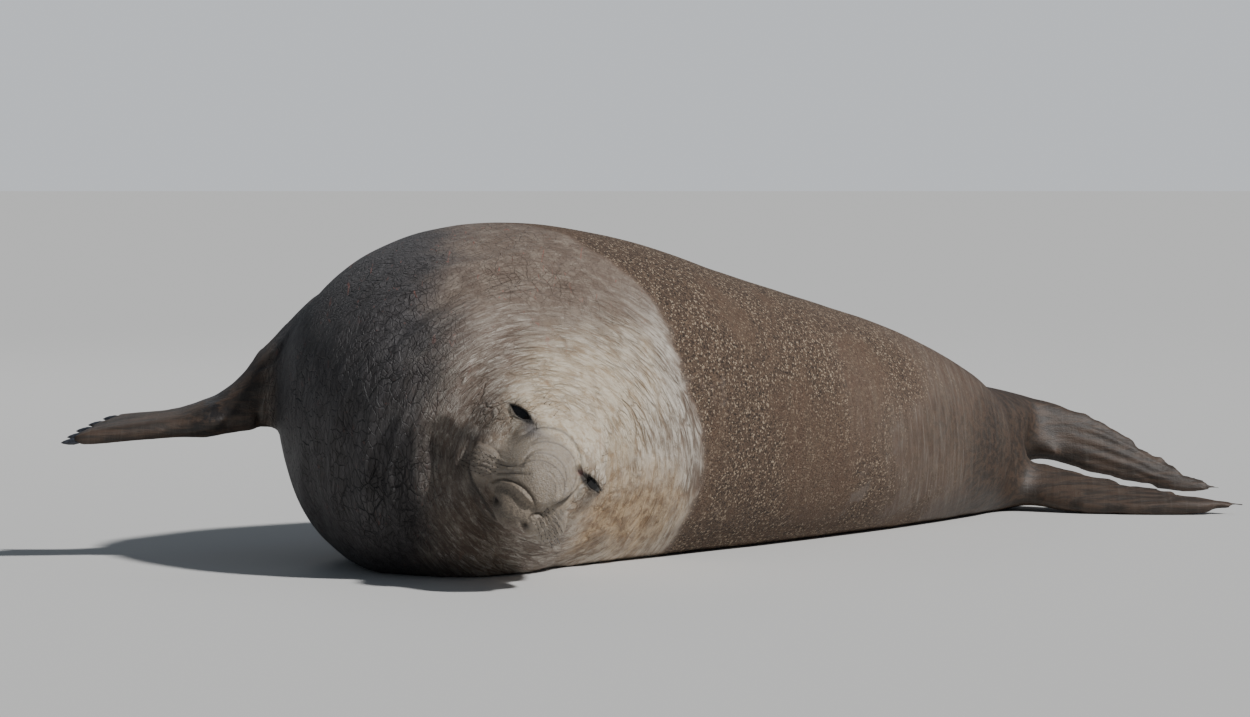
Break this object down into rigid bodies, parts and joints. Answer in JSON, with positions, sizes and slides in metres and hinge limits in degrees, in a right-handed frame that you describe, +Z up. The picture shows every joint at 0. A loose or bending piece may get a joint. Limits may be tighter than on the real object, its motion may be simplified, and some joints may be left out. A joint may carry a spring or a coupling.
{
  "type": "southern elephant seal",
  "caption": "Life-size still model of a southern elephant seal bull lying on its left side, with a fore flipper held out and its trunk-like nose facing front.",
  "frame": {"origin": "on the floor under the middle of the model's box", "axes": "+Z up, -Y towards the side that the face looks at, +X towards the tips of the hind flippers"},
  "size_m": [3.725, 3.0776, 1.0079],
  "materials": {
    "face": "short fur over thick creased skin, satin",
    "nose": "nearly bare wrinkled skin, satin",
    "neck": "cracked and scarred thick skin, matt",
    "back": "short fur dusted with dry sand, matt",
    "flipper": "short smooth fur over skin, satin",
    "claw": "dark horn, semi-gloss",
    "eye": "wet dark eye, glossy"
  },
  "bodies": {
    "root": {"head": "face", "proboscis": "nose", "lower_jaw": "face", "right_eye": "eye", "left_eye": "eye", "neck": "neck", "chest": "neck", "belly": "back", "hips": "back", "rump": "flipper", "right_hind_flipper": "flipper", "left_hind_flipper": "flipper", "tail": "flipper", "right_fore_arm": "flipper", "right_fore_hand": "flipper", "right_claw_1": "claw", "right_claw_2": "claw", "right_claw_3": "claw", "right_claw_4": "claw", "right_claw_5": "claw", "left_fore_arm": "flipper", "left_fore_hand": "flipper", "left_claw_1": "claw", "left_claw_2": "claw", "left_claw_3": "claw", "left_claw_4": "claw", "left_claw_5": "claw"}
  },
  "joints": []
}
